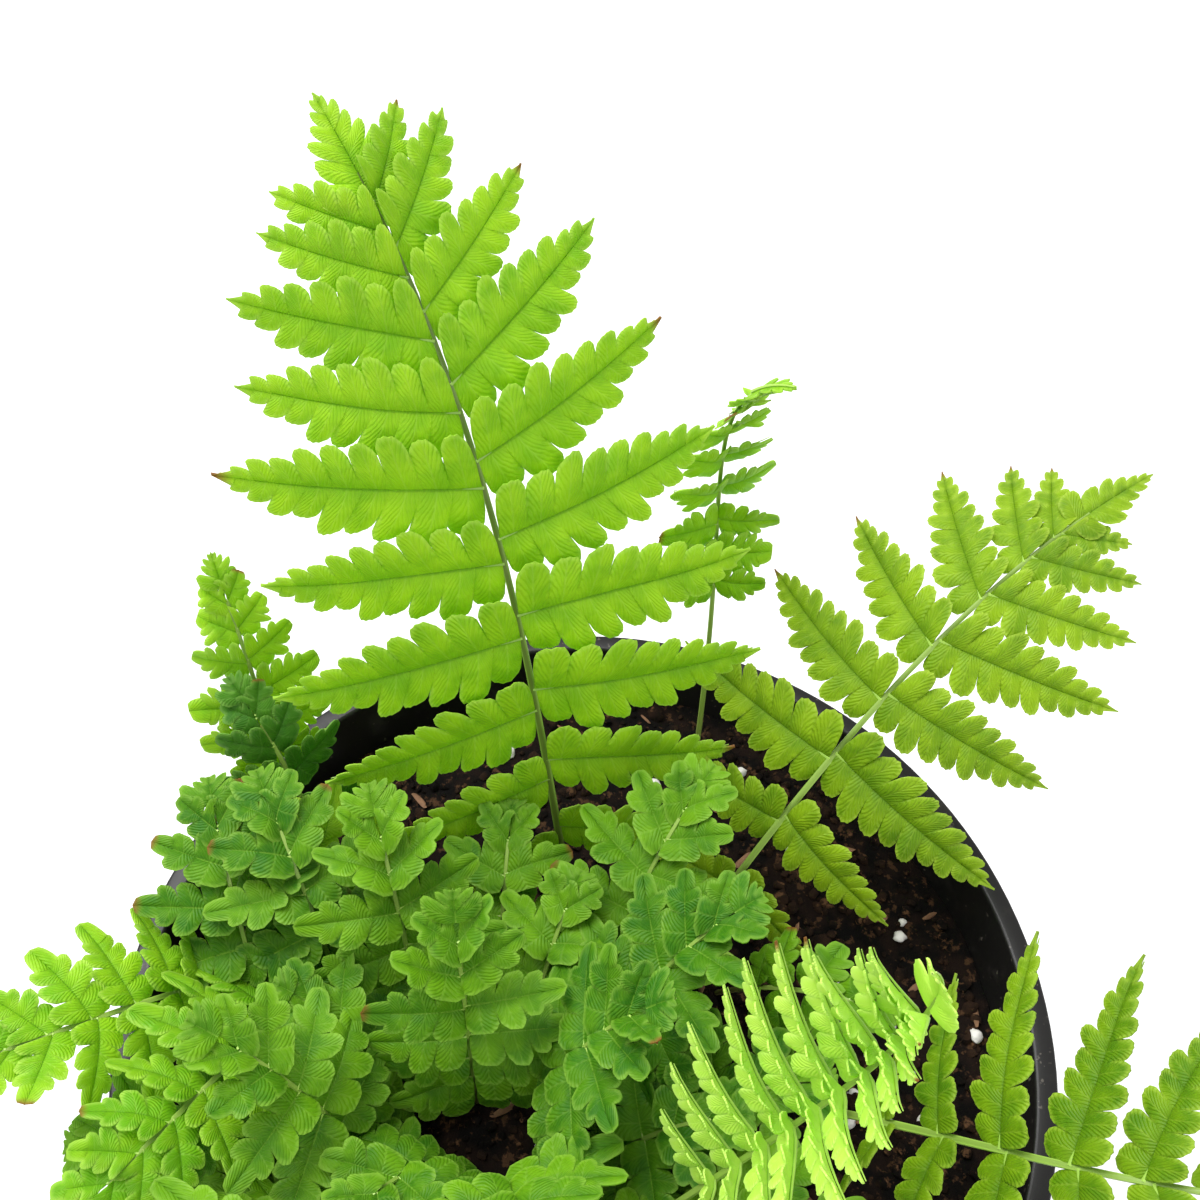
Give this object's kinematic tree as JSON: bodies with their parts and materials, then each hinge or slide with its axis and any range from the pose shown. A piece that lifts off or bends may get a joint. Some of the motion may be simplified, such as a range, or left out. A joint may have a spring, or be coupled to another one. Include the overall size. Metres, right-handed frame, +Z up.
{
  "type": "potted ostrich fern",
  "caption": "Young ostrich fern in a round black nursery pot: a tall frond at the back, leaning fronds round it and a low tuft of small fronds over the soil.",
  "frame": {"origin": "centre of the pot's underside, on the surface that it stands on", "axes": "+Z up along the pot's axis, +Y away from the picture's viewer, +X to the viewer's right"},
  "size_m": [0.2009, 0.1882, 0.2906],
  "materials": {
    "pot_plastic": "satin black plastic",
    "potting_mix": "damp crumbly peat",
    "frond_fresh": "satin leaf, fresh green",
    "frond_deep": "satin leaf, deep green",
    "frond_bright": "satin leaf, yellow green"
  },
  "bodies": {
    "root": {"pot": "pot_plastic", "potting_mix": "potting_mix", "frond_tall": "frond_fresh", "frond_right": "frond_fresh", "frond_back_young": "frond_deep", "frond_left_pale": "frond_fresh", "frond_left_dark": "frond_deep", "frond_left_low": "frond_fresh", "frond_front_left": "frond_fresh", "frond_left_edge": "frond_fresh", "frond_front_young": "frond_bright", "frond_front_right": "frond_fresh", "frond_middle_right": "frond_fresh", "frond_low_right": "frond_deep", "frond_tuft_1": "frond_deep", "frond_tuft_2": "frond_fresh", "frond_tuft_3": "frond_fresh", "frond_tuft_4": "frond_deep", "frond_tuft_5": "frond_fresh", "frond_tuft_6": "frond_fresh", "frond_tuft_7": "frond_deep", "frond_tuft_8": "frond_fresh", "frond_tuft_9": "frond_fresh", "frond_tuft_10": "frond_deep", "frond_tuft_11": "frond_fresh", "frond_tuft_12": "frond_fresh", "frond_tuft_13": "frond_deep", "frond_tuft_14": "frond_fresh", "frond_tuft_16": "frond_deep", "frond_tuft_17": "frond_fresh", "frond_tuft_18": "frond_fresh", "frond_tuft_19": "frond_deep", "frond_tuft_20": "frond_fresh", "frond_tuft_21": "frond_fresh", "frond_tuft_23": "frond_fresh", "frond_tuft_25": "frond_deep", "frond_tuft_26": "frond_fresh", "frond_tuft_28": "frond_deep", "frond_tuft_30": "frond_fresh", "frond_front_1": "frond_fresh", "frond_front_2": "frond_fresh", "frond_front_3": "frond_fresh", "frond_front_4": "frond_fresh", "frond_front_5": "frond_fresh"}
  },
  "joints": []
}
